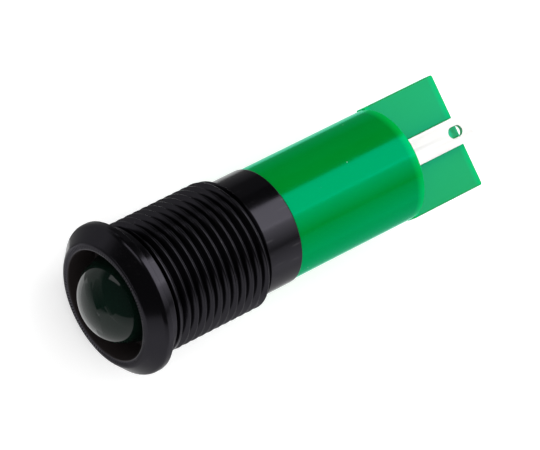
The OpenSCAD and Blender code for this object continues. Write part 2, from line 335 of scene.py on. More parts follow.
# %% [markdown]
# The thread is M14 with a pitch of 1 mm. A real one is cut by a pointed tool that
# moves along by one pitch in each turn. A Screw modifier makes just that path: the
# tool's outline is swept into a long coil, and the coil is cut out of the bezel.
# Modelling rings instead would be quicker, but rings don't climb, and the eye sees
# it where the thread starts and ends. The coil starts on the underside, at -Z, and
# inside the groove behind the collar, so the collar stays whole. The tool's outline
# curves at its nose and at its shoulders, because a used tool leaves round roots and
# round crests, and a round crest shows only a hair of light. It is half of the
# groove's section, as (radius, half width), and is mirrored to the other half.

# %% Cut the thread
PITCH = 1.0
CUTTER_STEPS = 96
CUTTER_TURNS = 13
CUTTER_START = 1.77
CUTTER_OUTLINE = [
    (6.35, 0.03), (6.38, 0.08), (6.44, 0.125), (6.88, 0.385), (6.93, 0.43), (6.95, 0.48),
    (7.3, 0.48),
]

section = [(r, CUTTER_START - half) for r, half in CUTTER_OUTLINE]
section += [(r, CUTTER_START + half) for r, half in reversed(CUTTER_OUTLINE)]
section.append(section[0])
cutter = trace("thread_cutter", [(0, y, -radius) for radius, y in section])
bpy.ops.mesh.select_all(action="SELECT")
bpy.ops.mesh.remove_doubles(threshold=CLOSE)
let_go()
add_modifier(
    cutter, "SCREW", axis="Y", screw_offset=PITCH * MM, iterations=CUTTER_TURNS,
    steps=CUTTER_STEPS, render_steps=CUTTER_STEPS,
)
pick(cutter)
bpy.ops.object.mode_set(mode="EDIT")
bpy.ops.mesh.select_all(action="SELECT")
bpy.ops.mesh.fill_holes(sides=0)
close_up()
let_go()
first = min((v.co for v in cutter.data.vertices), key=lambda co: co.y)
last = max((v.co for v in cutter.data.vertices), key=lambda co: co.y)
print("cutter faces:", len(cutter.data.polygons), "from", first / MM, "to", last / MM)
combine(bezel, cutter, "DIFFERENCE")
shade(bezel)

# %% [markdown]
# ## The LED
#
# The LED is cast in tinted epoxy in one piece: a dome in front, a collar that rests
# on the recess floor, and a thinner shank that goes through the web. The dome is a
# little flatter than a half ball. A UV sphere could be scaled to it, but then its
# poles would point the wrong way, so its outline is traced from the tip as a quarter
# of an ellipse and spun with the rest. Behind the dome comes a short straight part,
# and then a slope that widens to the collar.

# %% Cast the LED
DOME_R, DOME_LEN = 4.4, 3.5
SHANK_R = 4.0
DOME_STEPS = 28
STRAIGHT_LEN = 0.2
CAST_ROUND = 0.1

dome_y = led_low.y + DOME_LEN
straight_end = dome_y + STRAIGHT_LEN
slope_end = straight_end + led_high.x - DOME_R
dome = []
for step in range(DOME_STEPS + 1):
    angle = math.pi / 2 * step / DOME_STEPS
    dome.append((DOME_R * math.sin(angle), dome_y - DOME_LEN * math.cos(angle)))
led = turn("led_body", dome + [
    (DOME_R, straight_end),
    (led_high.x, slope_end),
    (led_high.x, RECESS_BACK),
    (SHANK_R, RECESS_BACK),
    (SHANK_R, led_high.y),
    (0, led_high.y),
])
round_rings(led, [(DOME_R, straight_end)], CAST_ROUND)
round_rings(led, [(led_high.x, slope_end), (SHANK_R, led_high.y)], CAST_ROUND)
shade(led)

# %% [markdown]
# ## The rear housing
#
# The housing is moulded in one shot: a tube that carries the bezel's sleeve on past
# the thread, a thinner spigot that is glued into the sleeve, and a flat barrier
# plate that keeps the two tabs apart. The tube is spun like the bezel. The plate
# starts as a block behind the rim; its front face is drawn out by a hair and made
# narrower there, and is then drawn on into the tube, so that it ends in the tube's
# wall. Its rear corners are bevelled, its edges are broken, and then tube and plate
# become one piece.

# %% Mould the housing
SPIGOT_R, SPIGOT_BORE_R = 4.8, 4.05
HOUSING_BORE_R = 5.075
SHOULDER_END = 19.1
RIM_Y = 34.2
PLATE_T = 1.5
PLATE_HALF_W = 6.2
PLATE_ROOT_Y = 30.55
PLATE_ROOT_W = 11.2
PLATE_NECK = 0.02
PLATE_CORNER = 0.25
RIM_ROUND, SHOULDER_ROUND, PLATE_ROUND = 0.12, 0.08, 0.1

housing_r = housing_high.x
housing = turn("housing", [
    (SPIGOT_BORE_R, housing_low.y),
    (SPIGOT_R, housing_low.y),
    (SPIGOT_R, sleeve_y),
    (housing_r, sleeve_y),
    (housing_r, RIM_Y),
    (HOUSING_BORE_R, RIM_Y),
    (HOUSING_BORE_R, SHOULDER_END),
    (SPIGOT_BORE_R, SHOULDER_END),
    (SPIGOT_BORE_R, housing_low.y),
])
round_rings(housing, [(housing_r, RIM_Y), (HOUSING_BORE_R, RIM_Y)], RIM_ROUND)
round_rings(housing, [(housing_r, sleeve_y), (SPIGOT_R, housing_low.y)], SHOULDER_ROUND)

plate_len = housing_high.y - RIM_Y
let_go()
bpy.ops.mesh.primitive_cube_add(
    size=1, location=(0, (RIM_Y + plate_len / 2) * MM, 0),
    scale=(2 * PLATE_HALF_W * MM, plate_len * MM, PLATE_T * MM),
)
plate = bpy.context.object
plate.name = "barrier_plate"
bpy.ops.object.transform_apply(location=True, rotation=True, scale=True)
for depth in (PLATE_NECK, RIM_Y - PLATE_ROOT_Y - PLATE_NECK):
    front = min(v.co.y for v in plate.data.vertices) / MM
    select_where(plate, "FACE", lambda co: co.y < front + NEAR)
    bpy.ops.mesh.extrude_region_move(TRANSFORM_OT_translate={"value": (0, -depth * MM, 0)})
    if depth == PLATE_NECK:
        bpy.ops.transform.resize(
            value=(PLATE_ROOT_W / 2 / PLATE_HALF_W, 1, 1),
            center_override=(0, front * MM, 0),
        )
    let_go()
end_y = housing_high.y
select_where(
    plate, "EDGE", lambda co: co.y > end_y - NEAR and abs(co.x) > PLATE_HALF_W - NEAR
)
bpy.ops.mesh.bevel(offset=PLATE_CORNER * MM, segments=5, affect="EDGES")
let_go()
break_edges(plate, PLATE_ROUND, segments=3)
combine(housing, plate, "UNION")
shade(housing)

# %% [markdown]
# ## The tabs
#
# Each tab is stamped from sheet metal and bent twice: a foot that is soldered to
# the circuit board inside, a crank through the resin, and a blade beside the plate.
# Its side view is traced, filled and extruded to its width. The two tip corners are
# cut off by a one-step bevel, one after the other: both at once would also select
# the two long edges between them. The eye that takes the wire is a cylinder,
# stretched to a slot by moving each half of it, and cut out. One function stamps
# both tabs, and the side says which way the crank bends.

# %% Stamp the tabs
TAB_W, TAB_T = 2.9, 0.5
TAB_X = 0.1
BLADE_Z = 1.5
FOOT_Z = {1: 0.0, -1: -1.5}
CRANK_Y, CRANK_END_Y = 27.6, 31.25
TIP_CUT = 0.45
SLOT_W, SLOT_LEN, SLOT_FROM_TIP = 1.2, 1.75, 2.08
SLOT_SIDES = 48
TAB_ROUND = 0.03


def side_view(foot_z, blade_z):
    """The tab's outline as (y, z), with its two bends mitred."""
    half = TAB_T / 2
    mitre = half * math.tan(math.atan2(blade_z - foot_z, CRANK_END_Y - CRANK_Y) / 2)
    return [
        (tab_low.y, foot_z + half),
        (CRANK_Y - mitre, foot_z + half),
        (CRANK_END_Y - mitre, blade_z + half),
        (tab_high.y, blade_z + half),
        (tab_high.y, blade_z - half),
        (CRANK_END_Y + mitre, blade_z - half),
        (CRANK_Y + mitre, foot_z - half),
        (tab_low.y, foot_z - half),
    ]


def stamp_tab(name, side):
    """One tab; side is 1 above the plate and -1 below it."""
    blade_z = side * BLADE_Z
    points = [(TAB_X - TAB_W / 2, y, z) for y, z in side_view(FOOT_Z[side], blade_z)]
    tab = trace(name, points)
    bpy.ops.mesh.select_all(action="SELECT")
    bpy.ops.mesh.edge_face_add()
    bpy.ops.mesh.extrude_region_move(TRANSFORM_OT_translate={"value": (TAB_W * MM, 0, 0)})
    close_up()
    tip = tab_high.y
    for corner in (-1, 1):
        select_where(
            tab, "EDGE",
            lambda co: co.y > tip - NEAR and (co.x - TAB_X) * corner > TAB_W / 2 - NEAR,
        )
        bpy.ops.mesh.bevel(offset=TIP_CUT * MM, segments=1, affect="EDGES")
        let_go()
    slot_y = tip - SLOT_FROM_TIP
    bpy.ops.mesh.primitive_cylinder_add(
        radius=SLOT_W / 2 * MM, depth=3 * TAB_T * MM, vertices=SLOT_SIDES,
        location=(TAB_X * MM, slot_y * MM, blade_z * MM),
    )
    eye = bpy.context.object
    bpy.ops.object.transform_apply(location=True)
    for end in (-1, 1):
        select_where(eye, "EDGE", lambda co: (co.y - slot_y) * end > NEAR)
        stretch = end * (SLOT_LEN - SLOT_W) / 2 * MM
        bpy.ops.transform.translate(value=(0, stretch, 0))
    let_go()
    combine(tab, eye, "DIFFERENCE")
    break_edges(tab, TAB_ROUND, segments=2)
    shade(tab)
    return tab


tabs = {1: stamp_tab("tab_up", 1), -1: stamp_tab("tab_down", -1)}

# %% [markdown]
# ## The resin
#
# After the board is in, the housing's end is filled with resin. It was liquid, so
# it creeps a little up the wall, and its surface sinks a little in the middle. A
# plain disc would look like a lid. The surface is written as how far it has sunk
# below the wall's level, or risen above it, at some distances from the wall. The
# plate and the tabs are then cut out of it, each with a copy of its own mesh.

# %% Pour the resin
CREEP = [(0, 0.12), (0.08, 0.02), (0.22, -0.05), (0.5, -0.09), (1.2, -0.11)]
MIDDLE_SAG = 0.12

outer_r = potting_high.x
level = potting_high.y
surface = [(outer_r - inward, level + rise) for inward, rise in CREEP]
resin = turn("resin_fill", [
    (0, potting_low.y),
    (outer_r, potting_low.y),
    *surface,
    (0, level - MIDDLE_SAG),
])
for piece in (housing, tabs[1], tabs[-1]):
    mould = piece.copy()
    mould.data = piece.data.copy()
    bpy.context.scene.collection.objects.link(mould)
    combine(resin, mould, "DIFFERENCE")
shade(resin)

# %% [markdown]
# ## Put each piece in its place
#
# The new pieces move with the model's one body and stand for the CAD parts whose
# shape they refine. The parts inside the sealed lamp keep their CAD shape.

# %% Tie the pieces to the model
NEW_PIECES = [
    (bezel, "bezel_body", "black_chrome"),
    (led, "led_lens", "led_epoxy"),
    (housing, "rear_housing", "green_housing"),
    (tabs[1], "tab_upper", "tab_metal"),
    (tabs[-1], "tab_lower", "tab_metal"),
    (resin, "end_potting", "potting_resin"),
]
for piece, node, slot in NEW_PIECES:
    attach(piece, "root")
    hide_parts(node)
print("new pieces:", [piece.name for piece, _, _ in NEW_PIECES])

# %% [markdown]
# ## Helpers for materials
#
# Each finish is a Principled shader whose plain numbers are set on its own sockets.
# Nodes are added only for what changes over the surface. Every pattern reads Object
# coordinates. All pieces share one origin, so those are the lamp's own metres.


# %% Add nodes in few words
def add(tree, kind, plain=None, **settings):
    """Add a node; plain holds socket values, settings its own properties."""
    node = tree.nodes.new("ShaderNode" + kind)
    for name, value in settings.items():
        setattr(node, name, value)
    for socket, value in (plain or {}).items():
        node.inputs[socket].default_value = value
    return node


def finish_of(name, plain):
    """A new material and its shader, with the plain values set on the shader."""
    material = bpy.data.materials.new(name)
    material.use_nodes = True
    shader = material.node_tree.nodes["Principled BSDF"]
    for socket, value in plain.items():
        shader.inputs[socket].default_value = value
    return material, material.node_tree, shader


def object_place(tree):
    """Where a point is on the lamp, in metres."""
    return add(tree, "TexCoord").outputs["Object"]


def bumps(tree, shader, height, strength, distance):
    """Feed a height into the shader's normal; distance is in millimetres."""
    bump = add(tree, "Bump", {"Strength": strength, "Distance": distance * MM})
    tree.links.new(height, bump.inputs["Height"])
    tree.links.new(bump.outputs["Normal"], shader.inputs["Normal"])


def spread(tree, value, low, high, start=0.0, end=1.0):
    """Map a value that runs from start to end onto low to high."""
    span = add(tree, "MapRange", {
        "From Min": start, "From Max": end, "To Min": low, "To Max": high,
    })
    tree.links.new(value, span.inputs["Value"])
    return span.outputs["Result"]


def maths(tree, operation, first, second=0.0, **settings):
    """The result of a Math node; each input is a socket or a number."""
    node = add(tree, "Math", operation=operation, **settings)
    for place, value in enumerate((first, second)):
        if isinstance(value, bpy.types.NodeSocket):
            tree.links.new(value, node.inputs[place])
        else:
            node.inputs[place].default_value = value
    return node.outputs[0]


def mix_colours(tree, mask, first, second):
    """Mix two colours by a mask; each is a socket or three numbers."""
    mix = add(tree, "Mix", data_type="RGBA")
    tree.links.new(mask, mix.inputs["Factor"])
    for socket, colour in ((mix.inputs[6], first), (mix.inputs[7], second)):
        if isinstance(colour, bpy.types.NodeSocket):
            tree.links.new(colour, socket)
        else:
            socket.default_value = (*colour, 1)
    return mix.outputs[2]


print("materials so far:", len(bpy.data.materials))

# %% [markdown]
# ## Effects that several finishes share
#
# No moulded or plated surface is perfectly even. "Skin" gives the faint waviness
# that a mould or a plating bath leaves, for bump and for gloss. "Handling" gives
# hair-fine scratches and specks of dust. "Band" gives a soft-edged stripe about a
# place on a line, for the colour rings of the parts inside and for the places where
# light gathers in the plastic. Each is one node group, placed where it's needed.


# %% Build the shared node groups
def new_group(name, inputs, outputs):
    """A shader node group with number or vector inputs and number outputs."""
    tree = bpy.data.node_groups.new(name, "ShaderNodeTree")
    for label, kind, value in inputs:
        socket = tree.interface.new_socket(label, in_out="INPUT", socket_type=kind)
        if value is not None:
            socket.default_value = value
    for label in outputs:
        tree.interface.new_socket(label, in_out="OUTPUT", socket_type="NodeSocketFloat")
    return tree, tree.nodes.new("NodeGroupInput"), tree.nodes.new("NodeGroupOutput")


FLOAT, VECTOR = "NodeSocketFloat", "NodeSocketVector"


def build_skin():
    """Broad waviness with a finer grain in it."""
    tree, inside, out = new_group(
        "Skin", [("Place", VECTOR, None), ("Scale", FLOAT, 400.0)], ["Height"]
    )
    place, scale = inside.outputs["Place"], inside.outputs["Scale"]
    broad = add(tree, "TexNoise", {"Detail": 2.0, "Roughness": 0.5})
    fine = add(tree, "TexNoise", {"Detail": 3.0, "Roughness": 0.6})
    link = tree.links.new
    link(place, broad.inputs["Vector"])
    link(place, fine.inputs["Vector"])
    link(scale, broad.inputs["Scale"])
    link(maths(tree, "MULTIPLY", scale, 7.0), fine.inputs["Scale"])
    share = maths(tree, "MULTIPLY", fine.outputs["Fac"], 0.2)
    link(maths(tree, "ADD", broad.outputs["Fac"], share), out.inputs["Height"])
    return tree


def build_handling():
    """Hair-fine scratches, and specks of dust."""
    tree, inside, out = new_group(
        "Handling", [("Place", VECTOR, None)], ["Scratches", "Dust"]
    )
    link = tree.links.new
    place = inside.outputs["Place"]
    stretch = add(tree, "Mapping", {"Scale": (900, 60, 900), "Rotation": (0.5, 0.3, 0.9)})
    hair = add(tree, "TexNoise", {"Scale": 3.0, "Detail": 1.0})
    patches = add(tree, "TexNoise", {"Scale": 260.0, "Detail": 1.0})
    link(place, stretch.inputs["Vector"])
    link(stretch.outputs["Vector"], hair.inputs["Vector"])
    link(place, patches.inputs["Vector"])
    lines = spread(tree, hair.outputs["Fac"], 0, 1, 0.66, 0.72)
    worn = spread(tree, patches.outputs["Fac"], 0, 1, 0.5, 0.62)
    link(maths(tree, "MULTIPLY", lines, worn), out.inputs["Scratches"])
    specks = add(tree, "TexVoronoi", {"Scale": 900.0, "Randomness": 1.0})
    chosen = add(tree, "SeparateColor")
    link(place, specks.inputs["Vector"])
    link(specks.outputs["Color"], chosen.inputs[0])
    dots = spread(tree, specks.outputs["Distance"], 1, 0, 0.03, 0.09)
    few = spread(tree, chosen.outputs[0], 0, 1, 0.93, 0.96)
    link(maths(tree, "MULTIPLY", dots, few), out.inputs["Dust"])
    return tree


def build_band():
    """1 within half a width of a centre, and falling to 0 over a soft edge."""
    tree, inside, out = new_group("Band", [
        ("Along", FLOAT, 0.0), ("Centre", FLOAT, 0.0), ("Half", FLOAT, 0.001),
        ("Soft", FLOAT, 0.0001),
    ], ["Mask"])
    given = inside.outputs
    away = maths(tree, "ABSOLUTE", maths(tree, "SUBTRACT", given["Along"], given["Centre"]))
    past = maths(tree, "SUBTRACT", away, given["Half"])
    share = maths(tree, "DIVIDE", past, given["Soft"])
    rest = maths(tree, "SUBTRACT", 1.0, share, use_clamp=True)
    tree.links.new(rest, out.inputs["Mask"])
    return tree


SKIN, HANDLING, BAND = build_skin(), build_handling(), build_band()


def place_group(tree, group, plain=None, **links):
    """Put a shared group in a material; links feed its sockets by name."""
    node = tree.nodes.new("ShaderNodeGroup")
    node.node_tree = group
    for socket, value in (plain or {}).items():
        node.inputs[socket].default_value = value
    for socket, source in links.items():
        tree.links.new(source, node.inputs[socket])
    return node.outputs


def stripe(tree, along, centre, half, soft):
    """The mask of a stripe across a line; the three sizes are in millimetres."""
    sizes = {"Centre": centre * MM, "Half": half * MM, "Soft": soft * MM}
    return place_group(tree, BAND, sizes, Along=along)["Mask"]


print("node groups:", [g.name for g in bpy.data.node_groups])

# %% [markdown]
# ## Black chrome
#
# The plating is dark and hard, with a soft gloss: it mirrors the lights above as
# broad grey bands and the white table as a rim of light. It is made as a metal with
# a very dark colour, because a dark metal keeps its reflections neutral. The tool
# left fine rings along the bezel, which a wave along Y puts back, and the gloss
# changes a little from place to place. The bath hardly reaches into the recess round
# the LED, so there the finish stays matt, like a black paint: a mask, made from how
# far a point is from the lamp's axis and from how deep it lies, takes the metal away.

# %% Make the black chrome
MATT_NEAR_WALL, MATT_PAST_WALL, MATT_PAST_FLOOR = 0.02, 0.12, 0.1

black_chrome, tree, shader = finish_of("black_chrome", {
    "IOR": 1.5, "Specular Tint": (0.75, 0.75, 0.75, 1),
})
link = tree.links.new
place = object_place(tree)
skin = place_group(tree, SKIN, {"Scale": 500.0}, Place=place)["Height"]
handling = place_group(tree, HANDLING, Place=place)
axes = add(tree, "SeparateXYZ")
link(place, axes.inputs[0])
flat = add(tree, "CombineXYZ")
link(axes.outputs[0], flat.inputs[0])
link(axes.outputs[2], flat.inputs[2])
off_axis = add(tree, "VectorMath", operation="LENGTH")
link(flat.outputs[0], off_axis.inputs[0])
inside = spread(tree, off_axis.outputs["Value"], 1, 0,
                (RECESS_R + MATT_NEAR_WALL) * MM, (RECESS_R + MATT_PAST_WALL) * MM)
in_front = spread(tree, axes.outputs[1], 1, 0,
                  RECESS_BACK * MM, (RECESS_BACK + MATT_PAST_FLOOR) * MM)
recess = maths(tree, "MULTIPLY", inside, in_front)
rings = add(tree, "TexWave", {
    "Scale": 3200.0, "Distortion": 0.6, "Detail": 2.0, "Detail Scale": 1.5,
}, wave_type="BANDS", bands_direction="Y")
link(place, rings.inputs["Vector"])
colour = mix_colours(tree, handling["Scratches"], (0.0435, 0.0415, 0.0495), (0.09, 0.085, 0.095))
colour = mix_colours(tree, handling["Dust"], colour, (0.12, 0.12, 0.12))
colour = mix_colours(tree, recess, colour, (0.026, 0.019, 0.019))
link(colour, shader.inputs["Base Color"])
link(spread(tree, recess, 1, 0), shader.inputs["Metallic"])
gloss = add(tree, "Mix", {"B": 0.6}, data_type="FLOAT")
link(recess, gloss.inputs["Factor"])
link(spread(tree, skin, 0.16, 0.21, 0.35, 0.85), gloss.inputs["A"])
link(gloss.outputs["Result"], shader.inputs["Roughness"])
ring_height = maths(tree, "MULTIPLY", rings.outputs["Fac"], 0.12)
bumps(tree, shader, maths(tree, "ADD", ring_height, skin), 0.25, 0.006)
print("black chrome nodes:", len(tree.nodes))

# %% [markdown]
# ## LED epoxy
#
# The epoxy is tinted so deeply that an unlit LED looks nearly black, with green
# where light gets in near its edge. It is cast in a polished mould, so it is the
# glossiest thing on the lamp. Real glass-like transmission would show the inside of
# the LED, but a diffused type scatters all light, so a dark body under a clear
# gloss is both truer and quicker.

# %% Make the LED epoxy
led_epoxy, tree, shader = finish_of("led_epoxy", {"IOR": 1.5, "Roughness": 0.07})
link = tree.links.new
place = object_place(tree)
skin = place_group(tree, SKIN, {"Scale": 300.0}, Place=place)["Height"]
dust = place_group(tree, HANDLING, Place=place)["Dust"]
colour = mix_colours(tree, skin, (0.0018, 0.0078, 0.0052), (0.0026, 0.0105, 0.0068))
colour = mix_colours(tree, dust, colour, (0.05, 0.06, 0.055))
link(colour, shader.inputs["Base Color"])
link(spread(tree, skin, 0.05, 0.12, 0.3, 0.9), shader.inputs["Roughness"])
bumps(tree, shader, skin, 0.1, 0.01)
print("LED epoxy nodes:", len(tree.nodes))

# %% [markdown]
# ## Green housing plastic
#
# The housing is a clear green plastic with a high gloss. Light enters at its cut
# ends and gathers there, so the rim and the plate's outer edges look brighter and
# purer than the broad faces. That glow is a softer green, mixed in by stripes along
# Y. The thin plate is a trace paler, because light from the table comes through it,
# and it has a paler patch below each tab's slot, where light falls in. Light that
# such a clear, strong green sends back has been in it, so even its highlights are
# green. One shader can't do that up to the edges, so two are mixed: a body without
# any gloss, and a tinted mirror. The Fresnel node says how much of the mirror shows:
# a little face on, and nearly all at a grazing angle.

# %% Make the green plastic
RIM_GLOW_DEPTH, THIN_START, THIN_END, PATCH_SHIFT = 0.1, 0.05, 1.0, 0.25

green_housing, tree, shader = finish_of("green_housing", {"Specular IOR Level": 0.0})
link = tree.links.new
place = object_place(tree)
axes = add(tree, "SeparateXYZ")
link(place, axes.inputs[0])
skin = place_group(tree, SKIN, {"Scale": 180.0}, Place=place)["Height"]
handling = place_group(tree, HANDLING, Place=place)
across, along = axes.outputs[0], axes.outputs[1]
rim_glow = stripe(tree, along, RIM_Y - RIM_GLOW_DEPTH, half=0.2, soft=0.75)
end_glow = stripe(tree, along, housing_high.y, half=0.15, soft=0.8)
glow = maths(tree, "MAXIMUM", rim_glow, end_glow)
thin = spread(tree, along, 0, 1, (RIM_Y + THIN_START) * MM, (RIM_Y + THIN_END) * MM)
patch_y = tab_high.y - SLOT_FROM_TIP + PATCH_SHIFT
patch_width = stripe(tree, across, TAB_X, half=0.45, soft=0.15)
patch_length = stripe(tree, along, patch_y, half=0.85, soft=0.15)
slot_glow = maths(tree, "MULTIPLY", patch_width, patch_length)
colour = mix_colours(tree, skin, (0.0, 0.235, 0.013), (0.0, 0.265, 0.018))
colour = mix_colours(tree, thin, colour, (0.022, 0.272, 0.022))
colour = mix_colours(tree, glow, colour, (0.0, 0.46, 0.05))
colour = mix_colours(tree, slot_glow, colour, (0.06, 0.6, 0.24))
colour = mix_colours(tree, handling["Dust"], colour, (0.3, 0.6, 0.4))
link(colour, shader.inputs["Base Color"])
bumps(tree, shader, skin, 0.15, 0.012)
mirror = add(tree, "BsdfPrincipled", {
    "Metallic": 1.0, "Base Color": (0.0, 1.0, 0.75, 1), "Specular Tint": (0.7, 0.95, 0.85, 1),
})
link(spread(tree, skin, 0.15, 0.2, 0.3, 0.9), mirror.inputs["Roughness"])
bumps(tree, mirror, skin, 0.15, 0.012)
share = add(tree, "Fresnel", {"IOR": 1.85})
link(mirror.inputs["Normal"].links[0].from_socket, share.inputs["Normal"])
both = add(tree, "MixShader")
link(share.outputs[0], both.inputs[0])
link(shader.outputs[0], both.inputs[1])
link(mirror.outputs[0], both.inputs[2])
link(both.outputs[0], tree.nodes["Material Output"].inputs["Surface"])
print("green plastic nodes:", len(tree.nodes))

# %% [markdown]
# ## Tinned tabs
#
# The tabs are brass with a bright tin plate. Rolling has left fine lines along the
# sheet, so the noise is stretched along Y. The tin is soft and picks up scratches.

# %% Make the tin plate
tab_metal, tree, shader = finish_of("tab_metal", {"Metallic": 1.0})
link = tree.links.new
place = object_place(tree)
drawn_out = add(tree, "Mapping", {"Scale": (2600, 120, 2600)})
link(place, drawn_out.inputs["Vector"])
rolled = add(tree, "TexNoise", {"Scale": 1.0, "Detail": 3.0})
link(drawn_out.outputs["Vector"], rolled.inputs["Vector"])
handling = place_group(tree, HANDLING, Place=place)
colour = mix_colours(tree, rolled.outputs["Fac"], (0.93, 0.925, 0.91), (0.97, 0.965, 0.95))
colour = mix_colours(tree, handling["Scratches"], colour, (0.85, 0.84, 0.82))
link(colour, shader.inputs["Base Color"])
link(spread(tree, rolled.outputs["Fac"], 0.4, 0.52, 0.3, 0.7), shader.inputs["Roughness"])
bumps(tree, shader, rolled.outputs["Fac"], 0.15, 0.005)
print("tin plate nodes:", len(tree.nodes))

# %% [markdown]
# ## Resin
#
# The resin is a dark green-black casting epoxy. It set with a glossy, slightly
# uneven surface.

# %% Make the resin
potting_resin, tree, shader = finish_of("potting_resin", {"IOR": 1.5})
link = tree.links.new
place = object_place(tree)
skin = place_group(tree, SKIN, {"Scale": 220.0}, Place=place)["Height"]
link(mix_colours(tree, skin, (0.008, 0.016, 0.012), (0.02, 0.034, 0.026)),
     shader.inputs["Base Color"])
link(spread(tree, skin, 0.1, 0.25, 0.3, 0.9), shader.inputs["Roughness"])
bumps(tree, shader, skin, 0.5, 0.05)
print("resin nodes:", len(tree.nodes))

# %% [markdown]
# ## Finishes inside
#
# The sealed parts are seen only if someone cuts the lamp open, but they carry real
# finishes too. Most are one colour with a grain and a bump, so one function makes
# them, and each calls it with its own two colours, grain and gloss.


# %% Make the inner finishes
GRAIN_HEIGHT = 0.02


def grained(name, light, dark, scale, rough, metal=0.0):
    """A plain finish: two close colours, a gloss that varies, and a small bump."""
    material, tree, shader = finish_of(name, {"Metallic": metal})
    place = object_place(tree)
    skin = place_group(tree, SKIN, {"Scale": scale}, Place=place)["Height"]
    tree.links.new(mix_colours(tree, skin, dark, light), shader.inputs["Base Color"])
    tree.links.new(spread(tree, skin, *rough, 0.3, 0.9), shader.inputs["Roughness"])
    bumps(tree, shader, skin, 0.3, GRAIN_HEIGHT)
    return material, tree, shader


inner = {}
for name, light, dark, scale, rough, metal in [
    ("led_leads", (0.72, 0.71, 0.68), (0.6, 0.59, 0.56), 900, (0.25, 0.4), 1.0),
    ("seal_rubber", (0.03, 0.03, 0.03), (0.018, 0.018, 0.018), 700, (0.6, 0.8), 0.0),
    ("ring_plastic", (0.03, 0.03, 0.032), (0.02, 0.02, 0.022), 500, (0.4, 0.55), 0.0),
    ("sleeve_plastic", (0.55, 0.03, 0.02), (0.42, 0.02, 0.015), 600, (0.35, 0.5), 0.0),
    ("board_laminate", (0.09, 0.26, 0.1), (0.05, 0.18, 0.06), 900, (0.3, 0.45), 0.0),
    ("part_leads", (0.78, 0.77, 0.74), (0.66, 0.65, 0.62), 900, (0.2, 0.35), 1.0),
    ("solder", (0.78, 0.79, 0.8), (0.6, 0.61, 0.62), 1200, (0.15, 0.35), 1.0),
]:
    inner[name] = grained(name, light, dark, scale, rough, metal)[0]
print("plain inner finishes:", sorted(inner))

# %% [markdown]
# The resistor and the diode carry rings of paint. The rings follow the part's
# length, which lies along Y, so each ring is a stripe about its place on Y: the
# resistor's are placed from its front end, and the diode's one from its rear end.

# %% Paint the resistor and the diode
RING_HALF, RING_SOFT = 0.25, 0.05
DIODE_RING_FROM_END, DIODE_RING_HALF = 0.7, 0.3


def ringed(name, light, dark, rings):
    """A lacquered body with painted rings, each a (y in millimetres, half, colour)."""
    material, tree, shader = grained(name, light, dark, 500, (0.2, 0.32))
    base = shader.inputs["Base Color"]
    colour = base.links[0].from_socket
    axes = add(tree, "SeparateXYZ")
    tree.links.new(object_place(tree), axes.inputs[0])
    for y, half, paint in rings:
        ring = stripe(tree, axes.outputs[1], y, half, RING_SOFT)
        colour = mix_colours(tree, ring, colour, paint)
    tree.links.new(colour, base)
    return material


resistor_low, _ = corners("dropping_resistor")
_, diode_high = corners("protection_diode")
BLUE, GREY, BROWN, GOLD = (
    (0.02, 0.08, 0.4), (0.25, 0.25, 0.25), (0.12, 0.04, 0.015), (0.5, 0.33, 0.07)
)
paints = [(0.8, BLUE), (2.0, GREY), (3.0, BROWN), (5.6, GOLD)]
inner["resistor_coat"] = ringed(
    "resistor_coat", (0.62, 0.47, 0.27), (0.54, 0.4, 0.22),
    [(resistor_low.y + y, RING_HALF, paint) for y, paint in paints],
)
inner["diode_case"] = ringed(
    "diode_case", (0.022, 0.022, 0.024), (0.014, 0.014, 0.016),
    [(diode_high.y - DIODE_RING_FROM_END, DIODE_RING_HALF, (0.7, 0.7, 0.7))],
)
print("inner finishes:", sorted(inner))

# %% [markdown]
# ## Give every piece its finish
#
# The CAD parts that stay take their finish through their material slot, and
# nothing else about them is touched.

# %% Assign the materials
INNER_PARTS = {
    "led_anode_lead": "led_leads", "led_cathode_lead": "led_leads",
    "led_seal_ring": "seal_rubber", "led_retaining_ring": "ring_plastic",
    "lead_sleeves": "sleeve_plastic", "circuit_board": "board_laminate",
    "dropping_resistor": "resistor_coat", "protection_diode": "diode_case",
    "resistor_front_lead": "part_leads", "resistor_rear_lead": "part_leads",
    "diode_front_lead": "part_leads", "diode_rear_lead": "part_leads",
    "led_solder_joints": "solder", "part_solder_joints": "solder",
    "tab_solder_joints": "solder",
}
OUTER_FINISHES = {
    "black_chrome": black_chrome, "led_epoxy": led_epoxy, "tab_metal": tab_metal,
    "green_housing": green_housing, "potting_resin": potting_resin,
}


def give(piece, material):
    """Replace whatever finish a piece has."""
    piece.data.materials.clear()
    piece.data.materials.append(material)


for piece, _, slot in NEW_PIECES:
    give(piece, OUTER_FINISHES[slot])
for node, slot in INNER_PARTS.items():
    give(frame["nodes"][node], inner[slot])

# %% [markdown]
# ## The table
#
# The lamp lies on a white table. Its colour alone would need a lot of light to look
# white, and that light would wash out the lamp. So the table glows a little for the
# camera, and for mirrors and glass, so that they show the same white, but not for
# the light that falls on the lamp. Most of its white still comes from the two soft
# boxes, which keeps the soft shadow.

# %% Lay the table
TABLE_SIZE = 4.0
TABLE_GLOW = 0.5
TABLE_GAP = 0.02
TABLE_Z = cad_low.z - TABLE_GAP * MM

let_go()
bpy.ops.mesh.primitive_plane_add(size=TABLE_SIZE, location=(0, 0, TABLE_Z))
table_top = bpy.context.object
table_top.name = "table_top"
white, tree, shader = finish_of("table_white", {"Roughness": 0.9, "Specular IOR Level": 0.2})
link = tree.links.new
grain = add(tree, "TexNoise", {"Scale": 60.0, "Detail": 2.0})
link(object_place(tree), grain.inputs["Vector"])
link(mix_colours(tree, grain.outputs["Fac"], (0.78, 0.78, 0.78), (0.8, 0.8, 0.8)),
     shader.inputs["Base Color"])


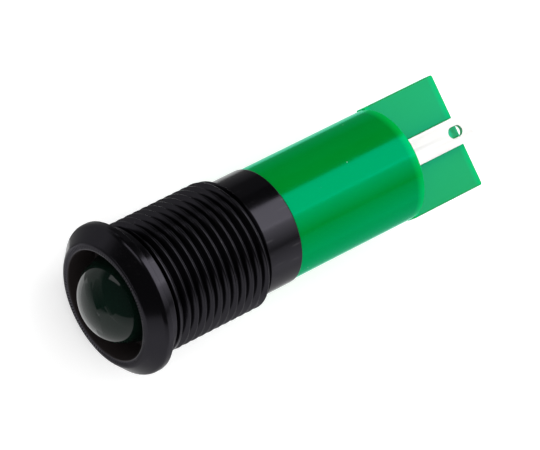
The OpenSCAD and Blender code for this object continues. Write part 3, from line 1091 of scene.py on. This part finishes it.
def seen_directly(tree):
    """1 for rays from the camera, from mirrors and through glass, and else 0."""
    path = add(tree, "LightPath").outputs
    first = maths(tree, "ADD", path["Is Camera Ray"], path["Is Glossy Ray"])
    return maths(tree, "ADD", first, path["Is Transmission Ray"], use_clamp=True)


shader.inputs["Emission Color"].default_value = (1, 1, 1, 1)
link(spread(tree, seen_directly(tree), 0, TABLE_GLOW), shader.inputs["Emission Strength"])
give(table_top, white)
print("table at z", TABLE_Z)

# %% [markdown]
# ## The room
#
# Black things look black only when what they mirror is dark. So the room above the
# table is dark, apart from a white band at the horizon, where the table would go
# on. For the light that falls on the lamp the room is a soft grey, a little paler on
# the right, as if its walls sent back a part of the soft boxes' light.

# %% Darken the room
ROOM_LIGHT_LEFT, ROOM_LIGHT_RIGHT = 0.65, 0.95
ROOM_DARK = 0.045
HORIZON_TOP, HORIZON_FADE = 0.05, 0.09

world = bpy.data.worlds.new("studio_room")
bpy.context.scene.world = world
world.use_nodes = True
tree = world.node_tree
link = tree.links.new
background = tree.nodes["Background"]
direction = add(tree, "SeparateXYZ")
link(add(tree, "TexCoord").outputs["Generated"], direction.inputs[0])
walls = spread(tree, direction.outputs[2], 1.0, ROOM_DARK, HORIZON_TOP, HORIZON_FADE)
fill = spread(tree, direction.outputs[0], ROOM_LIGHT_LEFT, ROOM_LIGHT_RIGHT, -1, 1)
room = add(tree, "Mix", data_type="FLOAT")
link(fill, room.inputs["A"])
link(seen_directly(tree), room.inputs["Factor"])
link(walls, room.inputs["B"])
background.inputs["Color"].default_value = (1, 1, 1, 1)
link(room.outputs["Result"], background.inputs["Strength"])
print("room nodes:", len(tree.nodes))

# %% [markdown]
# ## The soft boxes
#
# Two soft boxes light the table. The main one hangs above and behind, and draws the
# long pale band on the round sides. A tall one at the left gives the LED its small
# window of light. Each is set by the direction it shines from, its size and the
# brightness of its face, because that is what the lamp's surfaces mirror. An area
# light's power is that brightness times its area times pi.
#
# The top of the lamp, where it faces straight up, mirrors one direction to the
# camera: the camera's own, with front and back swapped. The main box hangs there.
# The first number below is that direction's share along Y, and the second is what
# is left for X and Z, which a tilt shares out between them. Three directions at
# right angles to each other make a turn, so a sheet is given the way of its Z and of
# its X, and a cross product finds the third.

# %% Hang the soft boxes
MIRROR_REARWARD, MIRROR_UP = 0.516, 0.857
LEFT, RIGHT = Vector((-1, 0, 0)), Vector((1, 0, 0))
REARWARD, UP = Vector((0, 1, 0)), Vector((0, 0, 1))
OVERHEAD, WINDOW_AWAY = 0.55, 0.6


def turned(its_z, its_x):
    """The turn that points an object's Z and X axes two given ways."""
    its_z, its_x = Vector(its_z).normalized(), Vector(its_x)
    its_x = (its_x - its_z * its_x.dot(its_z)).normalized()
    return Matrix((its_x, its_z.cross(its_x), its_z)).transposed().to_quaternion()


def soft_box(name, toward, distance, along, width, height, brightness):
    """An area light that faces the lamp's middle; its width lies along a direction."""
    data = bpy.data.lights.new(name, "AREA")
    data.shape = "RECTANGLE"
    data.size, data.size_y = width, height
    data.energy = brightness * width * height * math.pi
    light = bpy.data.objects.new(name, data)
    bpy.context.scene.collection.objects.link(light)
    away = Vector(toward).normalized()
    light.location = AIM + away * distance
    light.rotation_mode = "QUATERNION"
    light.rotation_quaternion = turned(away, along)
    light.visible_camera = False
    print(name, "at", light.location, "power", round(data.energy, 3))


def overhead(tilt):
    """The direction that the lamp's top mirrors, tilted sideways by degrees."""
    side = math.radians(tilt)
    return Vector((MIRROR_UP * math.sin(side), MIRROR_REARWARD, MIRROR_UP * math.cos(side)))


main_way, window_way = overhead(-15), Vector((-0.755, -0.26, 0.602))
soft_box("top_main", main_way, OVERHEAD, REARWARD.cross(main_way),
         width=0.41, height=0.36, brightness=1.95)
soft_box("left_window", window_way, WINDOW_AWAY, window_way.cross(UP),
         width=0.19, height=0.37, brightness=0.95)

# %% [markdown]
# ## The cards
#
# Glossy things are shaped by what they mirror, and a product studio sets that with
# cards: white ones make a broad soft sheen that fades, black ones put a dark edge on
# a shiny side. These cards are only seen in mirrors. They take no part in the light
# that falls on the lamp, so they can be tuned without changing a colour. Each one
# glows along its own X from one brightness to another. Most walls and the backdrop
# stand about half a metre away. The wall at the left and the flags stand within a few
# centimetres of the lamp. The cards on the table lie where the lamp's lower sides
# look, and those that make an edge lie on top of the others and fade, so that no
# border shows as a hard line on the LED.


# %% Make a card
def card(name, middle, size, face, along, glow):
    """A plane seen only in reflections, that faces one way and glows along another."""
    let_go()
    bpy.ops.mesh.primitive_plane_add(size=1)
    sheet = bpy.context.object
    sheet.name = name
    sheet.scale = (size[0], size[1], 1)
    bpy.ops.object.transform_apply(scale=True)
    sheet.rotation_mode = "QUATERNION"
    sheet.rotation_quaternion = turned(face, along)
    sheet.location = middle
    for ray in ("camera", "diffuse", "transmission", "volume_scatter", "shadow"):
        setattr(sheet, "visible_" + ray, False)
    finish, tree, shader = finish_of(name, {
        "Base Color": (0, 0, 0, 1), "Specular IOR Level": 0.0,
        "Emission Color": (1, 1, 1, 1),
    })
    axes = add(tree, "SeparateXYZ")
    tree.links.new(object_place(tree), axes.inputs[0])
    strength = spread(tree, axes.outputs[0], *glow, -size[0] / 2, size[0] / 2)
    tree.links.new(strength, shader.inputs["Emission Strength"])
    give(sheet, finish)
    print(name, "size", size, "glow", glow)


# %% [markdown]
# One card hangs above, and the others stand. A row gives a card's name, its middle,
# its size along X and Y, the way that it faces, the way that its X lies along, and
# its brightness at both ends of X. All places are in metres.

# %% Stand up the cards
fade_way = overhead(24)
fade_across = REARWARD.cross(fade_way)
fade_place = AIM + fade_way * OVERHEAD
STANDING = [
    ("fade_card", fade_place, (0.36, 0.36), -fade_way, fade_across, (1.45, 0.1)),
    ("wall_rear", (0.4, 0.45, 0.178), (0.376, 0.7), LEFT, UP, (0.9, 0.4)),
    ("wall_front", (0.4, -0.4, 0.115), (0.25, 1.0), LEFT, UP, (0.6, 0.35)),
    ("wall_left", (-0.05, -0.02, -0.0005), (0.015, 0.066), RIGHT, UP, (0.42, 0.05)),
    ("wall_front_left", (-0.35, -0.3, 0.03), (0.08, 0.75), (0.76, 0.65, 0), UP, (0.12, 0.04)),
    ("wall_far_front", (0.032, -0.46, 0.02), (0.33, 0.06), REARWARD, RIGHT, (0.02, 0.2)),
    ("flag_left", (-0.06, 0.07, 0.008), (0.034, 0.11), RIGHT, UP, (0.1, 0.1)),
    ("flag_front", (-0.0148, -0.021, -0.002), (0.0305, 0.012), REARWARD, RIGHT, (0.26, 0.02)),
    ("backdrop", (0, 0.5, 0.13), (0.7, 0.27), -REARWARD, RIGHT, (0.95, 0.95)),
]
for row in STANDING:
    card(*row)

# %% [markdown]
# The cards on the table all face up, so a row has no way that it faces. Cards that
# overlap lie a hair apart, because two sheets at one height would flicker.

# %% Lay out the cards on the table
LEFT_SLANT, RIGHT_SLANT = Vector((0.75, 0.66, 0)), Vector((0.95, 0.32, 0))
TABLE_CARD_Z = TABLE_Z + 0.0007
FRONT_CARD_Z = TABLE_CARD_Z + 0.0001
EDGE_CARD_Z = TABLE_CARD_Z + 0.0002
LYING = [
    ("table_left", (-0.036, 0.069), TABLE_CARD_Z, (0.048, 0.112), RIGHT, (0.05, 0.3)),
    ("table_left_front", (-0.034, -0.0185), TABLE_CARD_Z, (0.052, 0.063), RIGHT, (0.42, 0.35)),
    ("table_right_front", (0.202, -0.1725), TABLE_CARD_Z, (0.396, 0.355), RIGHT, (0.58, 0.58)),
    ("table_right", (0.21, 0.1275), TABLE_CARD_Z, (0.4, 0.245), RIGHT, (0.7, 0.8)),
    ("table_front", (-0.0023, -0.0122), FRONT_CARD_Z, (0.0125, 0.0166), REARWARD, (0.45, 0.85)),
    ("edge_left", (-0.0055, -0.0195), EDGE_CARD_Z, (0.012, 0.022), LEFT_SLANT, (0.07, 0.58)),
    ("edge_right", (0.0277, -0.1081), EDGE_CARD_Z, (0.0095, 0.178), RIGHT_SLANT, (0.05, 0.56)),
    ("dark_front", (0.0089, -0.1144), EDGE_CARD_Z, (0.03, 0.178), RIGHT_SLANT, (0.03, 0.05)),
]
for name, middle, z, size, along, glow in LYING:
    card(name, (*middle, z), size, UP, along, glow)
print("cards:", len(STANDING) + len(LYING))

# %% [markdown]
# ## Colour
#
# The Standard view shows colours as they are written.

# %% Set the view and finish
bpy.context.scene.view_settings.view_transform = "Standard"
let_go()
